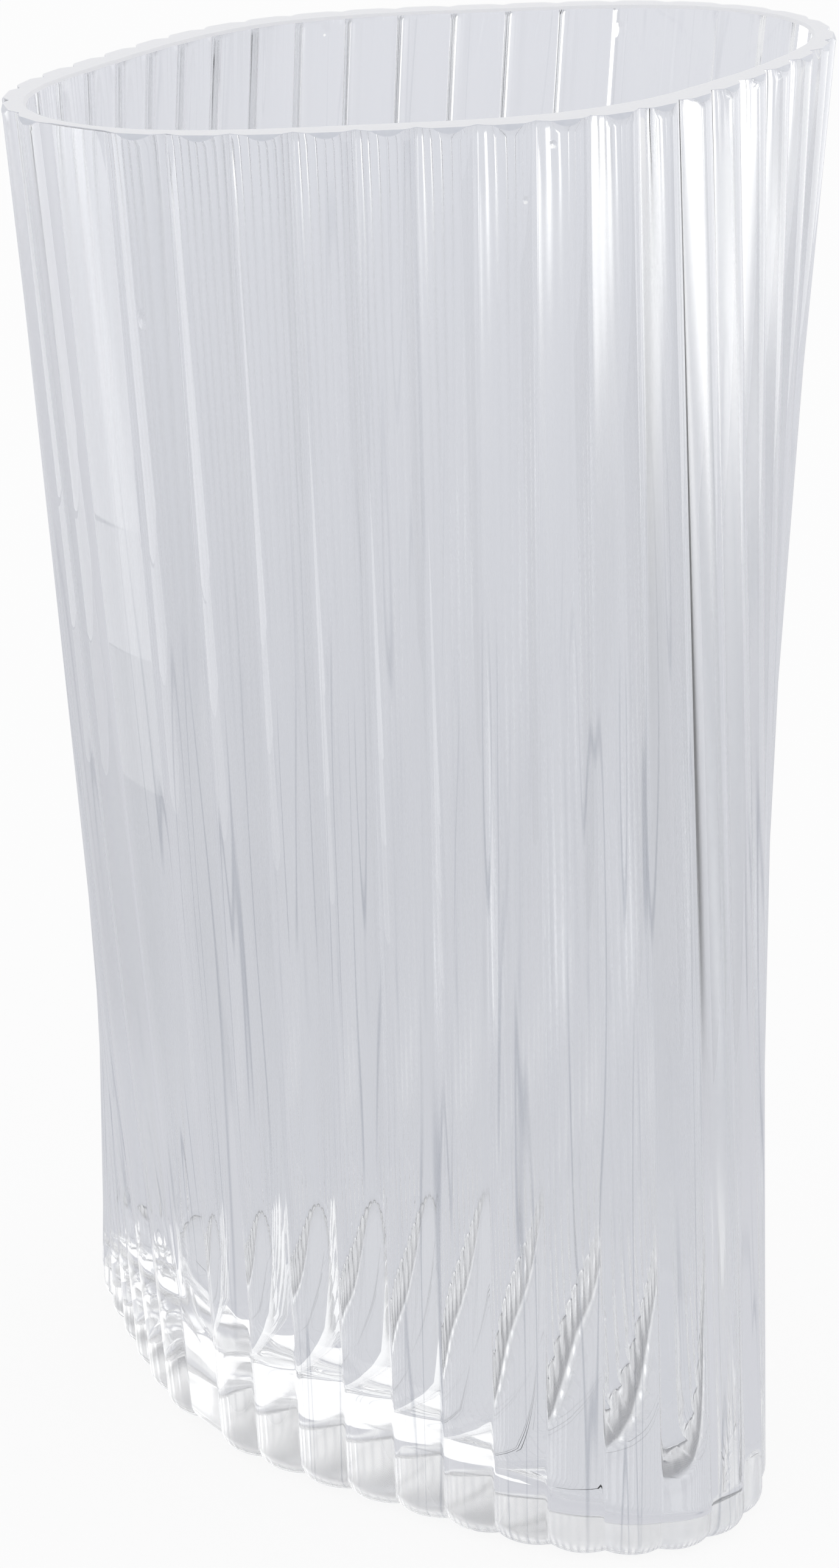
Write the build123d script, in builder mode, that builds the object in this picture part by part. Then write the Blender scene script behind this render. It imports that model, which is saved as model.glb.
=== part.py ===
from build123d import *
import math
import os

# A clear glass vase, drawn as a fluted tube that is pressed flat one way at the foot and the
# other way at the rim. Every flute is a straight rib that runs from the foot outline to the rim
# outline. The foot is long along Y, the rim is long along X, and the vase stands on Z = 0.

# Driving dimensions, in millimetres
height = 250.0
flute_count = 40
flute_width = 10.2
flute_rise = 2.0
flat_rise = 0.24
wall = 4.0
foot_round = 4.0
foot_collar = 1.5
floor_thickness = 3.5
near_cove = 29.0
far_cove = 25.0
tip_cove = 3.0
lip_height = 6.0
lip_bevel = 0.6
inner_bevel = 0.5

# Driving form values: how hard each outline is pressed flat, how straight its flanks are,
# how far the flutes turn about Z, in degrees, over how many flutes the cove grows to full, and
# which flute came out of the mould nearly flat
rim_squash = 0.36
foot_squash = -0.42
flank = 0.22
rim_turn = -95.0
foot_turn = -107.0
tip_flutes = 8.0
flat_flute = 1

# How finely the forms are drawn
wall_steps = 5
round_steps = 3
cove_steps = 5
cut_margin = 2.0


def outline(squash, turn):
    """Flute corners of one outline: equal steps whose heading swings round a rounded lens."""
    corners = []
    corner = Vector(0, 0)
    for flute in range(flute_count):
        way = math.radians(turn) + (flute + 0.5) * 2 * math.pi / flute_count
        heading = way - squash * math.sin(2 * way) + flank * math.sin(4 * way)
        corners.append(corner)
        corner = corner + Vector(math.cos(heading), math.sin(heading)) * flute_width
    middle = sum(corners, Vector(0, 0)) * (1 / flute_count)
    return [corner - middle for corner in corners]


def corners_at(z):
    """Flute corners at a height, on straight ribs from the foot outline to the rim outline."""
    share = z / height
    return [low * (1 - share) + high * share for low, high in zip(foot_outline, rim_outline)]


def outward(start, end):
    """Unit normal of one flute's chord, pointing away from the middle of the vase."""
    along = (end - start).normalized()
    return Vector(along.Y, -along.X)


def moved(corners, distances):
    """The same corners, each moved outwards by its distance, or inwards where it is negative."""
    result = []
    for index, corner in enumerate(corners):
        before = outward(corners[index - 1], corner)
        after = outward(corner, corners[(index + 1) % flute_count])
        result.append(corner + (before + after).normalized() * distances[index])
    return result


def fluted_section(z, inset=0.0):
    """A fluted outline as a face: one outward arc for each flute, and one of them nearly flat."""
    corners = moved(corners_at(z), [-inset] * flute_count)
    with BuildSketch(Plane.XY.offset(z)) as section:
        with BuildLine():
            for index, start in enumerate(corners):
                end = corners[(index + 1) % flute_count]
                rise = flat_rise if index == flat_flute else flute_rise
                crest = (start + end) * 0.5 + outward(start, end) * rise
                ThreePointArc(start, crest, end)
        make_face()
    return section.sketch


def smooth_section(z, distances):
    """An outline with no flutes, which passes each flute corner at its distance."""
    with BuildSketch(Plane.XY.offset(z)) as section:
        with BuildLine():
            Spline(*moved(corners_at(z), distances), periodic=True)
        make_face()
    return section.sketch


def cove_radius(index):
    """Radius of the hollow between wall and floor at one corner, small at the foot's tips."""
    half_round = flute_count / 2
    past_tip = (index - foot_tip) % half_round
    share = min(past_tip / tip_flutes, (half_round - past_tip) / tip_flutes, 1.0)
    flank_cove = near_cove if foot_outline[index].X < 0 else far_cove
    return tip_cove + (flank_cove - tip_cove) * share * share * (3 - 2 * share)


def inside_section(z):
    """The inside of the glass at one height: the wall's thickness in, and more in the cove."""
    distances = []
    for index in range(flute_count):
        cove = cove_radius(index)
        below_cove_top = max(floor_thickness + cove - z, 0.0)
        bulk = cove - math.sqrt(max(cove**2 - below_cove_top**2, 0.0))
        distances.append(-wall - bulk)
    return smooth_section(z, distances)


foot_outline = outline(foot_squash, foot_turn)
rim_outline = outline(rim_squash, rim_turn)
foot_tip = max(range(flute_count), key=lambda index: abs(foot_outline[index].Y))

# The space inside: a smooth tube that follows the wall down to a thin flat floor, with a wide
# cove along the flanks of the foot, wider on one than the other, that runs out small at its tips
widest_cove = max(near_cove, far_cove)
cove_top = floor_thickness + widest_cove
cavity_rise = height + cut_margin - cove_top
cove_angles = [math.pi / 2 * step / cove_steps for step in range(cove_steps)]
cavity_levels = [cove_top - widest_cove * math.cos(angle) for angle in cove_angles]
cavity_levels += [cove_top + cavity_rise * step / wall_steps for step in range(wall_steps + 1)]
with BuildPart() as cavity:
    loft([inside_section(z) for z in cavity_levels], ruled=True)

# The whole glass: a rounded foot edge, then straight fluted ribs up to the rim
round_angles = [math.pi / 2 * step / round_steps for step in range(round_steps)]
foot_edge = [
    fluted_section(foot_round * (1 - math.cos(angle)), foot_round * (1 - math.sin(angle)))
    for angle in round_angles
]
wall_rise = height - foot_round
ribs = [fluted_section(foot_round + wall_rise * step / wall_steps) for step in range(wall_steps + 1)]
with BuildPart() as glass:
    loft(foot_edge + ribs, ruled=True)
    add(cavity.part, mode=Mode.SUBTRACT)

# The foot: the thin floor and the thick cove round it, up to a collar of wall above the cove
foot_top = Plane.XY.offset(cove_top + foot_collar)
with BuildPart() as foot:
    add(glass.part)
    split(bisect_by=foot_top, keep=Keep.BOTTOM)

# The fluted wall, from the foot to the lip
lip_bottom = Plane.XY.offset(height - lip_height)
with BuildPart() as fluted_wall:
    add(glass.part)
    split(bisect_by=foot_top, keep=Keep.TOP)
    split(bisect_by=lip_bottom, keep=Keep.BOTTOM)

# The form that the lip is ground to: it takes the crests off the flutes in a slanting cut
crest_left = flute_rise - lip_bevel
lip_sections = [
    smooth_section(height - lip_height, [crest_left + lip_height] * flute_count),
    smooth_section(height, [crest_left] * flute_count),
]
with BuildPart() as lip_form:
    loft(lip_sections, ruled=True)

# The ground lip: cut flat on top, bevelled outside and eased along its inner edge
with BuildPart() as ground_lip:
    add(glass.part)
    split(bisect_by=lip_bottom, keep=Keep.TOP)
    add(lip_form.part, mode=Mode.INTERSECT)
    top_face = ground_lip.faces().sort_by(Axis.Z)[-1]
    chamfer(top_face.inner_wires()[0].edges(), inner_bevel)

os.makedirs("parts", exist_ok=True)
foot.part.label = "foot"
export_step(foot.part, "parts/foot.step")
fluted_wall.part.label = "fluted_wall"
export_step(fluted_wall.part, "parts/fluted_wall.step")
ground_lip.part.label = "ground_lip"
export_step(ground_lip.part, "parts/ground_lip.step")
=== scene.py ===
import math

import bmesh
import bpy
from mathutils import Matrix, Vector, noise


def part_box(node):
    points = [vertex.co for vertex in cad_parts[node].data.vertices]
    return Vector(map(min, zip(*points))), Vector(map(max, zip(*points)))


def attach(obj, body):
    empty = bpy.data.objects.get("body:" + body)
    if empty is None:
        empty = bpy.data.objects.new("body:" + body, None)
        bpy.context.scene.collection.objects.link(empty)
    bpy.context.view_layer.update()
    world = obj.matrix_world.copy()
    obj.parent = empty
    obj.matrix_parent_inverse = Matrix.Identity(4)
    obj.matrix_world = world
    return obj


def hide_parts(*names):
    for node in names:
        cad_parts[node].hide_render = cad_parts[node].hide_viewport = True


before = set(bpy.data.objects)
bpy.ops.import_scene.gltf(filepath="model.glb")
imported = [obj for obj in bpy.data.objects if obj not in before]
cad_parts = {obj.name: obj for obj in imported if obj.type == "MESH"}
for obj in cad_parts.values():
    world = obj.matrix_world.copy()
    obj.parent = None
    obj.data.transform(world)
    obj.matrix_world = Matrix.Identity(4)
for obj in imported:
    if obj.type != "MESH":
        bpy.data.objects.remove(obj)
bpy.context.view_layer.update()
bpy.ops.object.select_all(action="DESELECT")

# Foot: the thick bottom of the vase, one piece with all the glass above it.
# Hot glass was blown into a fluted mould and pressed flat, so the edge of the foot is
# scalloped and softly rounded, and the underside is flat.
MM = 0.001
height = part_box("ground_lip")[1].z
flute_count = 40
flute_width = 10.2 * MM
flute_rise = 2.0 * MM
flute_radius = (flute_width**2 / 4 + flute_rise**2) / (2 * flute_rise)
flat_flute = 1
flat_share = 0.06
valley_softness = 0.008
valley_crowding = 1.4
half_steps = 15
half_shares = tuple(0.5 * (step / half_steps) ** valley_crowding for step in range(half_steps))
flute_shares = half_shares + (0.5,) + tuple(1 - share for share in reversed(half_shares[1:]))
round_places = flute_count * len(flute_shares)
rim_squash = 0.36
foot_squash = -0.42
flank = 0.22
rim_turn = -95.0
foot_turn = -107.0
foot_round = 4.0 * MM
foot_round_steps = 7
underside_margin = 1.0 * MM
underside_along = -0.02


def outline(squash, turn):
    """Flute corners of one outline: equal steps whose heading swings round a rounded lens."""
    corners = []
    corner = Vector((0.0, 0.0))
    for flute in range(flute_count):
        way = math.radians(turn) + (flute + 0.5) * 2 * math.pi / flute_count
        heading = way - squash * math.sin(2 * way) + flank * math.sin(4 * way)
        corners.append(corner)
        corner = corner + Vector((math.cos(heading), math.sin(heading))) * flute_width
    middle = sum(corners, Vector((0.0, 0.0))) / flute_count
    return [corner - middle for corner in corners]


def outward(start, end):
    """Unit normal of one flute's chord, pointing away from the middle of the vase."""
    along = (end - start).normalized()
    return Vector((along.y, -along.x))


def corner_normals(corners):
    """Outward directions at the flute corners."""
    normals = []
    for index, corner in enumerate(corners):
        before = outward(corners[index - 1], corner)
        after = outward(corner, corners[(index + 1) % flute_count])
        normals.append((before + after).normalized())
    return normals


def flute_swell(flute, share):
    """How far a flute stands out: round from valley to valley, and one flute is nearly flat."""
    from_valley = min(share, 1 - share)
    softened = math.hypot(from_valley, valley_softness) - valley_softness
    off_crest = (0.5 - softened) * flute_width
    swell = flute_rise - flute_radius + math.sqrt(flute_radius**2 - off_crest**2)
    return swell * (flat_share if flute == flat_flute else 1.0)


def fluted_ring(z, inset=0.0):
    """Points of the fluted outside at one height, flute by flute."""
    share_up = z / height
    corners = [low.lerp(high, share_up) for low, high in zip(foot_outline, rim_outline)]
    normals = corner_normals(corners)
    corners = [corner - normal * inset for corner, normal in zip(corners, normals)]
    ring = []
    for flute, start in enumerate(corners):
        end = corners[(flute + 1) % flute_count]
        for share in flute_shares:
            place = start.lerp(end, share) + outward(start, end) * flute_swell(flute, share)
            ring.append(place.to_3d() + Vector((0.0, 0.0, z)))
    return ring


def place_ring(ring, along):
    """Puts the selected points in their places and notes how far along the glass they are."""
    glass = bmesh.from_edit_mesh(vase.data)
    round_place = glass.verts.layers.int["round_place"]
    glass_along = glass.verts.layers.float["glass_along"]
    for vert in glass.verts:
        if vert.select:
            vert.co = ring[vert[round_place]]
            vert[glass_along] = along
    bmesh.update_edit_mesh(vase.data)


def draw_ring(ring, along):
    """Draws the open edge of the glass on by one ring of faces."""
    bpy.ops.mesh.extrude_region_move()
    place_ring(ring, along)


foot_outline = outline(foot_squash, foot_turn)
rim_outline = outline(rim_squash, rim_turn)

bpy.ops.mesh.primitive_circle_add(vertices=round_places, radius=flute_width, fill_type="TRIFAN")
vase = bpy.context.object
vase.name = "fan_vase"
bpy.ops.object.mode_set(mode="EDIT")
bpy.ops.mesh.select_mode(type="EDGE")
glass = bmesh.from_edit_mesh(vase.data)
round_place = glass.verts.layers.int.new("round_place")
glass.verts.layers.float.new("glass_along")
for vert in glass.verts:
    if vert.is_boundary:
        turn = math.atan2(vert.co.y, vert.co.x)
        vert[round_place] = round(turn / (2 * math.pi) * round_places) % round_places
bmesh.update_edit_mesh(vase.data)
bpy.ops.mesh.select_all(action="DESELECT")
bpy.ops.mesh.select_non_manifold()
place_ring(fluted_ring(0.0, foot_round + underside_margin), underside_along)
for step in range(foot_round_steps):
    angle = math.pi / 2 * step / foot_round_steps
    rise = foot_round * (1 - math.cos(angle))
    inset = foot_round * (1 - math.sin(angle))
    draw_ring(fluted_ring(rise, inset), rise / height)

# Fluted wall: straight ribs of the same glass, leaning from the foot's outline to the rim's,
# which is pressed flat the other way. Each rib is a shallow round flute that the mould left,
# and sharp valleys part them.
wall_rings = 10
lip_rise = 2.0 * MM
wall_top = height - lip_rise
for step in range(wall_rings + 1):
    level = foot_round + (wall_top - foot_round) * step / wall_rings
    draw_ring(fluted_ring(level), level / height)

# Ground lip: the top of the vase, cut flat with a wheel. The cut takes the crests of the
# flutes off at a slant, which leaves a small crescent on each, and eases the inner edge.
lip_bevel = 0.6 * MM
bevel_slant = 1.6
least_bevel = 0.05 * MM
inner_bevel = 0.5 * MM
lip_along = 1.0
crest_left = flute_rise - lip_bevel
rim_normals = corner_normals(rim_outline)
slant_foot = []
slant_top = []
for place, crest in enumerate(fluted_ring(height)):
    flute, step = divmod(place, len(flute_shares))
    cut = max(flute_swell(flute, flute_shares[step]) - crest_left, least_bevel)
    next_flute = (flute + 1) % flute_count
    inward = -outward(rim_outline[flute], rim_outline[next_flute]).to_3d()
    slant_foot.append(crest - Vector((0.0, 0.0, cut * bevel_slant)))
    slant_top.append(crest + inward * cut)
draw_ring(slant_foot, lip_along)
draw_ring(slant_top, lip_along)

# Inside: the wall as the blower's breath left it, nearly smooth, with the flutes only faintly
# felt through it. It is uneven in thickness and ripples a little along the ribs.
wall_thickness = 4.0 * MM
rim_thickness = {0: 2.8, 4: 3.5, 7: 4.2, 11: 5.2, 13: 4.4, 15: 3.0, 19: 2.7, 24: 3.6, 30: 4.0, 36: 3.4}
valley_bulge = 0.1 * MM
ripple_height = 0.25 * MM
ripple_width = 16.0 * MM
ripple_length = 90.0 * MM
inside_rings = 22
inner_edge_along = 1.05
inside_along = 1.06
girth_radius = flute_count * flute_width / (2 * math.pi)


def rim_wall(corner):
    """Thickness of the wall at one rim corner, eased between the places that rim_thickness names."""
    stops = sorted(rim_thickness)
    before = max(stop for stop in stops if stop <= corner)
    later = [stop for stop in stops if stop > corner]
    after = later[0] if later else flute_count
    share = (corner - before) / (after - before)
    eased = share * share * (3 - 2 * share)
    thick_after = rim_thickness[after % flute_count]
    return (rim_thickness[before] + (thick_after - rim_thickness[before]) * eased) * MM


def smooth_round(corners):
    """A smooth closed line through the corners, with a point for each place round the glass."""
    line = []
    for flute in range(flute_count):
        before = corners[flute - 1]
        start = corners[flute]
        end = corners[(flute + 1) % flute_count]
        after = corners[(flute + 2) % flute_count]
        square_part = 2 * before - 5 * start + 4 * end - after
        cube_part = 3 * start - before - 3 * end + after
        for share in flute_shares:
            bend = square_part * share**2 + cube_part * share**3
            line.append((2 * start + (end - before) * share + bend) / 2)
    return line


foot_normals = corner_normals(foot_outline)
foot_inner_corners = []
rim_inner_corners = []
for corner in range(flute_count):
    foot_inner_corners.append(foot_outline[corner] - foot_normals[corner] * wall_thickness)
    rim_inner_corners.append(rim_outline[corner] - rim_normals[corner] * rim_wall(corner))
foot_inside = smooth_round(foot_inner_corners)
rim_inside = smooth_round(rim_inner_corners)
inside_foot_normals = smooth_round(foot_normals)
inside_rim_normals = smooth_round(rim_normals)


def inside_point(place, z):
    """A point on the inside of the wall, on a straight rib with the ripples added."""
    share_up = z / height
    flute_share = flute_shares[place % len(flute_shares)]
    turn = 2 * math.pi * place / round_places
    spot = Vector((math.cos(turn), math.sin(turn), 0.0)) * girth_radius / ripple_width
    spot.z = z / ripple_length
    ripple = ripple_height * noise.noise(spot)
    bulge = valley_bulge * share_up**2 * (0.5 + 0.5 * math.cos(2 * math.pi * flute_share))
    normal = inside_foot_normals[place].lerp(inside_rim_normals[place], share_up).normalized()
    flat = foot_inside[place].lerp(rim_inside[place], share_up) - normal * (bulge + ripple)
    return flat.to_3d() + Vector((0.0, 0.0, z))


lip_edge = []
for place in range(round_places):
    inner_normal = inside_rim_normals[place].normalized().to_3d()
    lip_edge.append(inside_point(place, height) + inner_normal * inner_bevel)
inside_top = height - inner_bevel
draw_ring(lip_edge, inner_edge_along)
draw_ring([inside_point(place, inside_top) for place in range(round_places)], inside_along)

floor_thickness = 3.5 * MM
near_cove = 29.0 * MM
far_cove = 25.0 * MM
tip_cove = 3.0 * MM
tip_flutes = 8.0


def cove_radius(place):
    """Radius of the hollow between wall and floor, wide along the flanks and small at the tips."""
    half_round = flute_count / 2
    past_tip = (place / len(flute_shares) - foot_tip) % half_round
    share = min(past_tip / tip_flutes, (half_round - past_tip) / tip_flutes, 1.0)
    flank_cove = near_cove if inside_foot_normals[place].x < 0 else far_cove
    return tip_cove + (flank_cove - tip_cove) * share * share * (3 - 2 * share)


foot_tip = max(range(flute_count), key=lambda flute: abs(foot_outline[flute].y))
coves = [cove_radius(place) for place in range(round_places)]
for step in range(1, inside_rings + 1):
    share_down = step / inside_rings
    ring = []
    for place, cove in enumerate(coves):
        level = inside_top + (floor_thickness + cove - inside_top) * share_down
        ring.append(inside_point(place, level))
    draw_ring(ring, inside_along + share_down)

# Floor inside: the bottom is thin and flat in the middle. A wide hollow curve joins it to the
# flanks of the foot, where the glass is thick, and runs out small at its two tips.
cove_steps = 12
cove_along = 2.06
cove_spacing = 0.02
middle_along = 2.7
floor_spacing = 0.3
floor_shares = (0.95, 0.88, 0.8, 0.7, 0.6, 0.5, 0.4, 0.3, 0.2, 0.12, 0.06, 0.03)
for step in range(1, cove_steps + 1):
    angle = math.pi / 2 * step / cove_steps
    ring = []
    for place, cove in enumerate(coves):
        inward = -inside_foot_normals[place].normalized().to_3d()
        spot = inside_point(place, floor_thickness + cove * (1 - math.sin(angle)))
        ring.append(spot + inward * cove * (1 - math.cos(angle)))
    draw_ring(ring, cove_along + cove_spacing * step)
floor_edge = ring
for share in floor_shares:
    ring = [Vector((edge.x * share, edge.y * share, floor_thickness)) for edge in floor_edge]
    draw_ring(ring, middle_along - floor_spacing * share)
bpy.ops.mesh.merge(type="CENTER")
bpy.ops.mesh.select_all(action="SELECT")
bpy.ops.mesh.normals_make_consistent(inside=False)

# Finishes: each face learns how far round and how far along the glass it lies, so that marks
# can follow the flutes, and which of four finishes it has: clear as blown, ground flat on top,
# cut at a slant on the crests, or ground level below.
clear_finish, ground_finish, bevel_finish, base_finish = range(4)
facing_up = 0.5
facing_down = -0.9
crease_angle = math.radians(30)
glass = bmesh.from_edit_mesh(vase.data)
round_place = glass.verts.layers.int["round_place"]
glass_along = glass.verts.layers.float["glass_along"]
flute_map = glass.loops.layers.uv.verify()
for face in glass.faces:
    places = [vert[round_place] for vert in face.verts]
    crosses_start = max(places) - min(places) > round_places / 2
    for loop, place in zip(face.loops, places):
        flute, step = divmod(place, len(flute_shares))
        if crosses_start and place < round_places / 2:
            flute += flute_count
        loop[flute_map].uv = ((flute + flute_shares[step]) / flute_count, loop.vert[glass_along])
    middle = face.calc_center_median().z
    face_along = sum(vert[glass_along] for vert in face.verts) / len(face.verts)
    face.material_index = clear_finish
    if face_along > lip_along and face.normal.z > facing_up and middle > height - inner_bevel:
        face.material_index = ground_finish
    elif face_along <= lip_along and middle > wall_top + 0.5 * lip_rise:
        face.material_index = bevel_finish
    elif face.normal.z < facing_down and middle < least_bevel:
        face.material_index = base_finish
bmesh.update_edit_mesh(vase.data)
bpy.ops.object.mode_set(mode="OBJECT")
bpy.ops.object.shade_smooth_by_angle(angle=crease_angle)


class Wire:
    """One output of a shader node. Sums with it add Math nodes to its tree."""

    def __init__(self, tree, socket=None):
        self.tree = tree
        self.socket = socket

    def node(self, kind, settings, inputs, output=0):
        """Adds a node: its settings first, then the values or links of its sockets."""
        node = self.tree.nodes.new(kind)
        for name, value in settings.items():
            setattr(node, name, value)
        for name, value in inputs.items():
            if isinstance(value, Wire):
                self.tree.links.new(value.socket, node.inputs[name])
            else:
                node.inputs[name].default_value = value
        return Wire(self.tree, node.outputs[output] if node.outputs else None)

    def eased(self, value, start, end, low, high):
        """A value turned into a soft step from low to high."""
        limits = {"Value": value, "From Min": start, "From Max": end, "To Min": low, "To Max": high}
        return self.node("ShaderNodeMapRange", {"interpolation_type": "SMOOTHSTEP"}, limits)

    def blend(self, share, first, second):
        """One colour that turns into another."""
        return self.node("ShaderNodeMix", {"data_type": "RGBA"}, {0: share, 6: first, 7: second}, 2)

    def sum(self, operation, first, second):
        """One Math node on two values."""
        return self.node("ShaderNodeMath", {"operation": operation}, {0: first, 1: second})

    def __add__(self, other):
        return self.sum("ADD", self, other)

    def __radd__(self, other):
        return self.sum("ADD", other, self)

    def __sub__(self, other):
        return self.sum("SUBTRACT", self, other)

    def __rsub__(self, other):
        return self.sum("SUBTRACT", other, self)

    def __mul__(self, other):
        return self.sum("MULTIPLY", self, other)

    def __rmul__(self, other):
        return self.sum("MULTIPLY", other, self)


def new_tree(owner):
    """Clears an owner's nodes and gives back its tree as the start for new ones."""
    owner.use_nodes = True
    owner.node_tree.nodes.clear()
    return Wire(owner.node_tree)


# Clear glass: nearly colourless, with hairlines drawn out along the ribs while it was soft,
# more of them low down, and a few seeds (small bubbles) near the rim. The inside was never
# touched by the mould or a wheel, and its unevenness blurs what is seen through the wall.
glass_index = 1.5
clear_tint = (0.965, 0.97, 0.975, 1.0)
hairline_tint = (0.56, 0.58, 0.62, 1.0)
grain_scale = (84.0, 1.3, 1.0)
grain_height = 0.005 * MM
lines_per_grain = 4.0
line_half_width = 0.1
group_scale = (30.0, 3.0, 1.0)
group_edges = (0.43, 0.58)
fewer_lines = (0.45, 0.8)
fewest_lines = 0.3
outside_end = (0.99, 1.0)
inner_roughness = 0.16
rough_from = (1.05, 1.15)
rough_to = (1.8, 1.95)
seed_height = 0.3 * MM
seeds = (
    ((0.061, 0.875), (0.002, 0.008)),
    ((0.231, 0.985), (0.0018, 0.003)),
    ((0.2193, 0.95), (0.0018, 0.003)),
    ((0.7715, 1.104), (0.0028, 0.046)),
    ((0.738, 1.068), (0.0032, 0.007)),
    ((0.596, 1.078), (0.0032, 0.01)),
)
clear_glass = bpy.data.materials.new("clear_glass")
tree = new_tree(clear_glass)
flutes = tree.node("ShaderNodeUVMap", {"uv_map": vase.data.uv_layers.active.name}, {})
flat_noise = {"noise_dimensions": "2D"}
grain_spot = tree.node("ShaderNodeMapping", {}, {"Vector": flutes, "Scale": grain_scale})
grain = tree.node("ShaderNodeTexNoise", flat_noise, {"Vector": grain_spot, "Scale": 1.0, "Detail": 1.0})
grain_step = tree.node("ShaderNodeMath", {"operation": "FRACT"}, {0: grain * lines_per_grain})
off_line = tree.node("ShaderNodeMath", {"operation": "ABSOLUTE"}, {0: grain_step - 0.5})
line = tree.eased(off_line, 0.0, line_half_width, 1.0, 0.0)
group_spot = tree.node("ShaderNodeMapping", {}, {"Vector": flutes, "Scale": group_scale})
group = tree.node("ShaderNodeTexNoise", flat_noise, {"Vector": group_spot, "Scale": 1.0, "Detail": 1.0})
grouped = tree.eased(group, *group_edges, 0.0, 1.0)
along = tree.node("ShaderNodeSeparateXYZ", {}, {"Vector": flutes}, "Y")
lower = tree.eased(along, *fewer_lines, 1.0, fewest_lines) * tree.eased(along, *outside_end, 1.0, 0.0)
tint = tree.blend(line * grouped * lower, clear_tint, hairline_tint)
within = tree.eased(along, *rough_from, 0.0, 1.0) * tree.eased(along, *rough_to, 1.0, 0.0)
relief = grain * grouped * grain_height
for (seed_round, seed_along), (half_round, half_along) in seeds:
    shrink = (1 / half_round, 1 / half_along, 0.0)
    shift = (-seed_round / half_round, -seed_along / half_along, 0.0)
    seed_spot = tree.node("ShaderNodeMapping", {}, {"Vector": flutes, "Scale": shrink, "Location": shift})
    off_seed = tree.node("ShaderNodeVectorMath", {"operation": "LENGTH"}, {0: seed_spot}, "Value")
    relief = relief + tree.eased(off_seed, 0.0, 1.0, seed_height, 0.0)
bump = tree.node("ShaderNodeBump", {}, {"Height": relief, "Strength": 1.0, "Distance": 1.0})
glass_shader = tree.node(
    "ShaderNodeBsdfPrincipled",
    {},
    {
        "Base Color": tint,
        "Roughness": within * inner_roughness,
        "IOR": glass_index,
        "Transmission Weight": 1.0,
        "Normal": bump,
    },
)
tree.node("ShaderNodeOutputMaterial", {}, {"Surface": glass_shader})
vase.data.materials.append(clear_glass)

# Ground glass: the flat top of the lip, cut on a fine wheel and left pale, with faint marks
# of the wheel in it.
wheel_marks = 900.0


def worked_glass(name, first, second, roughness, transmission):
    """Gives the vase its next finish: glass that a wheel has worked, marked in two shades."""
    material = bpy.data.materials.new(name)
    tree = new_tree(material)
    spot = tree.node("ShaderNodeTexCoord", {}, {}, "Object")
    marks = tree.node("ShaderNodeTexNoise", {}, {"Vector": spot, "Scale": wheel_marks, "Detail": 1.0})
    worked_shader = tree.node(
        "ShaderNodeBsdfPrincipled",
        {},
        {
            "Base Color": tree.blend(marks, first, second),
            "Roughness": roughness,
            "IOR": glass_index,
            "Transmission Weight": transmission,
        },
    )
    tree.node("ShaderNodeOutputMaterial", {}, {"Surface": worked_shader})
    vase.data.materials.append(material)


worked_glass("ground_glass", (0.94, 0.95, 0.985, 1.0), (0.985, 0.99, 1.0, 1.0), 0.4, 0.0)

# Bevel glass: the slanting cuts on the crests of the flutes, polished back a little after the wheel.
# Their cool grey is painted shade, the darker tone these facets show, and not a colour of the glass.
worked_glass("bevel_glass_painted_shade", (0.7, 0.73, 0.79, 1.0), (0.8, 0.82, 0.87, 1.0), 0.3, 0.2)

# Base glass: the underside, ground level so that the vase stands firm, and polished back until
# it is nearly clear.
worked_glass("base_glass", (0.95, 0.955, 0.97, 1.0), (1.0, 1.0, 1.0, 1.0), 0.15, 1.0)
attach(vase, "root")
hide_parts("foot", "fluted_wall", "ground_lip")

# Floor: a plain white sweep of paper that the vase stands on, which keeps a faint shadow of it.
# Seen through the glass it glows a pale grey, with painted shade that makes it darker near the vase and a
# little lighter further off.
floor_size = 12.0
floor_gap = 0.2 * MM
floor_white = (0.96, 0.96, 0.96, 1.0)
pure_white = (1.0, 1.0, 1.0, 1.0)
near_paper_painted_shade = (0.665, 0.672, 0.709, 1.0)
far_paper = (0.758, 0.766, 0.809, 1.0)
painted_shade_reach = (0.15, 1.2)
glow_share = 0.9
bpy.ops.object.select_all(action="DESELECT")
bpy.ops.mesh.primitive_plane_add(size=floor_size, location=(0.0, 0.0, -floor_gap))
floor = bpy.context.object
floor.name = "floor"
white_floor = bpy.data.materials.new("white_floor")
tree = new_tree(white_floor)
camera_ray = tree.node("ShaderNodeLightPath", {}, {}, "Is Camera Ray")
glossy_ray = tree.node("ShaderNodeLightPath", {}, {}, "Is Glossy Ray")
glass_ray = tree.node("ShaderNodeLightPath", {}, {}, "Is Transmission Ray")
seen = camera_ray + glossy_ray + glass_ray
spot = tree.node("ShaderNodeTexCoord", {}, {}, "Object")
reach = tree.node("ShaderNodeVectorMath", {"operation": "LENGTH"}, {0: spot}, "Value")
# Painted shade: the paper that the glass sees darkens towards the vase.
paper = tree.blend(tree.eased(reach, *painted_shade_reach, 0.0, 1.0), near_paper_painted_shade, far_paper)
paper = tree.blend(camera_ray, paper, pure_white)
floor_paint = tree.node("ShaderNodeBsdfDiffuse", {}, {"Color": floor_white})
floor_glow = tree.node("ShaderNodeEmission", {}, {"Color": paper, "Strength": 1.0})
floor_mix = tree.node("ShaderNodeMixShader", {}, {0: seen * glow_share, 1: floor_paint, 2: floor_glow})
tree.node("ShaderNodeOutputMaterial", {}, {"Surface": floor_mix})
floor.data.materials.append(white_floor)

# Cards: what the glass mirrors and bends into view, as in any studio for glass. White ones lie
# at the left, a black and a grey one stand at the right, and white ones stand far off at the
# right and behind. The small white one under the near flank is painted light: a glowing patch
# on the floor beneath the foot.
view_way = math.radians(52.4)
card_gap = 0.1 * MM


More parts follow.
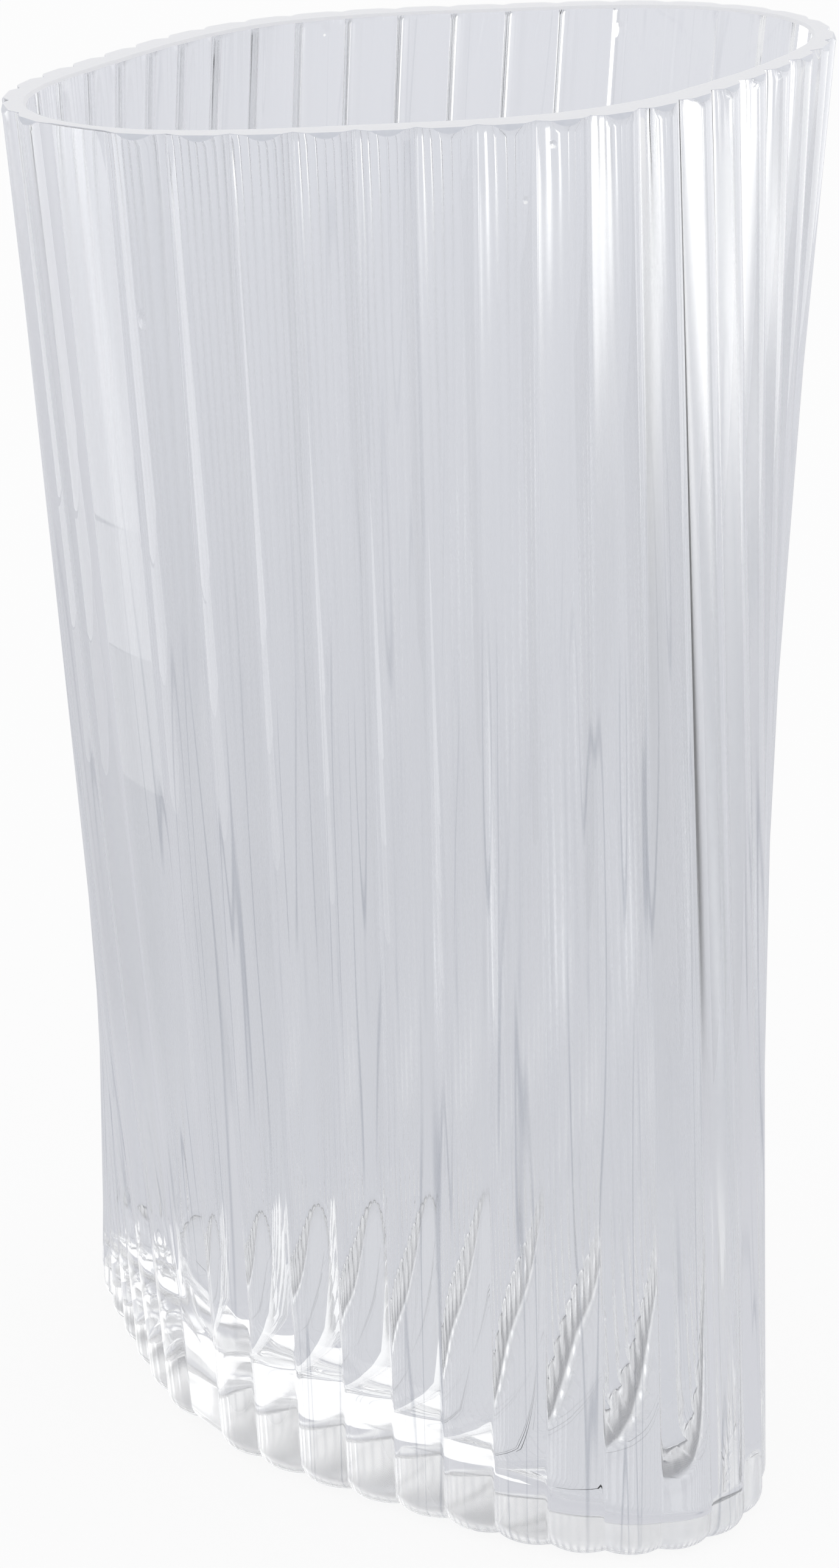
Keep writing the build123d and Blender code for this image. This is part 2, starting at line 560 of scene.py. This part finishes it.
def card(name, shade, way, distance, size, aside=0.0, lift=None):
    """A plain card that only the glass sees: flat on the floor, or upright with its foot lifted."""
    bpy.ops.object.select_all(action="DESELECT")
    bpy.ops.mesh.primitive_plane_add(size=1.0)
    piece = bpy.context.object
    piece.name = name
    spread = Matrix.Diagonal((size[0], size[1], 1.0, 1.0))
    if lift is not None:
        upright = Matrix.Rotation(math.pi / 2, 4, "Y") @ spread
        spread = Matrix.Translation((0.0, 0.0, lift + size[0] / 2)) @ upright
    turned = Matrix.Rotation(view_way + math.radians(way), 4, "Z")
    piece.data.transform(turned @ Matrix.Translation((distance, aside, -card_gap)) @ spread)
    paint = bpy.data.materials.new(name)
    tree = new_tree(paint)
    glow = tree.node("ShaderNodeEmission", {}, {"Color": pure_white, "Strength": shade})
    tree.node("ShaderNodeOutputMaterial", {}, {"Surface": glow})
    piece.data.materials.append(paint)
    piece.visible_camera = False
    piece.visible_diffuse = False
    piece.visible_shadow = False


card("white_card", shade=2.65, way=106.0, distance=0.53, size=(0.27, 0.24))
card("pale_card", shade=2.2, way=103.0, distance=0.365, size=(0.06, 0.22))
card("dim_card", shade=1.4, way=102.0, distance=0.305, size=(0.06, 0.2))
# Painted light: a glowing patch on the floor under the near flank, brighter than the paper, which the
# foot shows.
card("under_foot_painted_light", shade=1.15, way=127.6, distance=0.0425, size=(0.035, 0.135), aside=-0.0125)
card("black_card", shade=0.08, way=-79.5, distance=0.42, size=(0.35, 0.08), lift=0.0)
card("grey_card", shade=0.15, way=-102.0, distance=0.6, size=(0.17, 0.55), lift=0.0)
card("far_white_card", shade=1.5, way=-50.0, distance=0.95, size=(0.6, 0.85), lift=0.0)
card("back_card", shade=1.0, way=15.0, distance=1.0, size=(0.55, 1.6), lift=0.2)

# Studio: soft light from all round, a little dimmer overhead, and a backdrop that the camera
# sees as plain white.
low_room = (0.86, 0.86, 0.87, 1.0)
high_room = (0.78, 0.78, 0.79, 1.0)
room_rise = (0.1, 0.8)
world = bpy.data.worlds.new("studio")
bpy.context.scene.world = world
tree = new_tree(world)
direction = tree.node("ShaderNodeTexCoord", {}, {}, "Generated")
up = tree.node("ShaderNodeSeparateXYZ", {}, {"Vector": direction}, "Z")
camera_ray = tree.node("ShaderNodeLightPath", {}, {}, "Is Camera Ray")
room = tree.blend(tree.eased(up, *room_rise, 0.0, 1.0), low_room, high_room)
seen_room = tree.blend(camera_ray, room, pure_white)
backdrop = tree.node("ShaderNodeBackground", {}, {"Color": seen_room, "Strength": 1.0})
tree.node("ShaderNodeOutputWorld", {}, {"Surface": backdrop})

# Camera: where the photograph was taken from, a long lens that looks down on the rim. Light
# may bounce often, since much of what the foot shows has been mirrored in it many times.
camera_reach = 827.7 * MM
camera_height = 411.4 * MM
camera_side = math.radians(-127.7)
camera_pan = math.radians(-37.62)
camera_tilt = math.radians(90 - 19.486)
camera_roll = math.radians(0.58)
lens_pixels = 7969.4
frame_height_pixels = 2576
bpy.ops.object.camera_add()
camera = bpy.context.object
camera.data.lens = camera.data.sensor_width * lens_pixels / frame_height_pixels
place = Vector((math.cos(camera_side), math.sin(camera_side), 0.0)) * camera_reach
place.z = camera_height
turned = Matrix.Rotation(camera_pan, 4, "Z") @ Matrix.Rotation(camera_tilt, 4, "X")
camera.matrix_world = Matrix.Translation(place) @ turned @ Matrix.Rotation(camera_roll, 4, "Z")
bpy.context.scene.camera = camera
bpy.context.scene.cycles.max_bounces = 64
bpy.context.scene.cycles.glossy_bounces = 56
bpy.context.scene.cycles.transmission_bounces = 64
bpy.context.scene.view_settings.view_transform = "Standard"
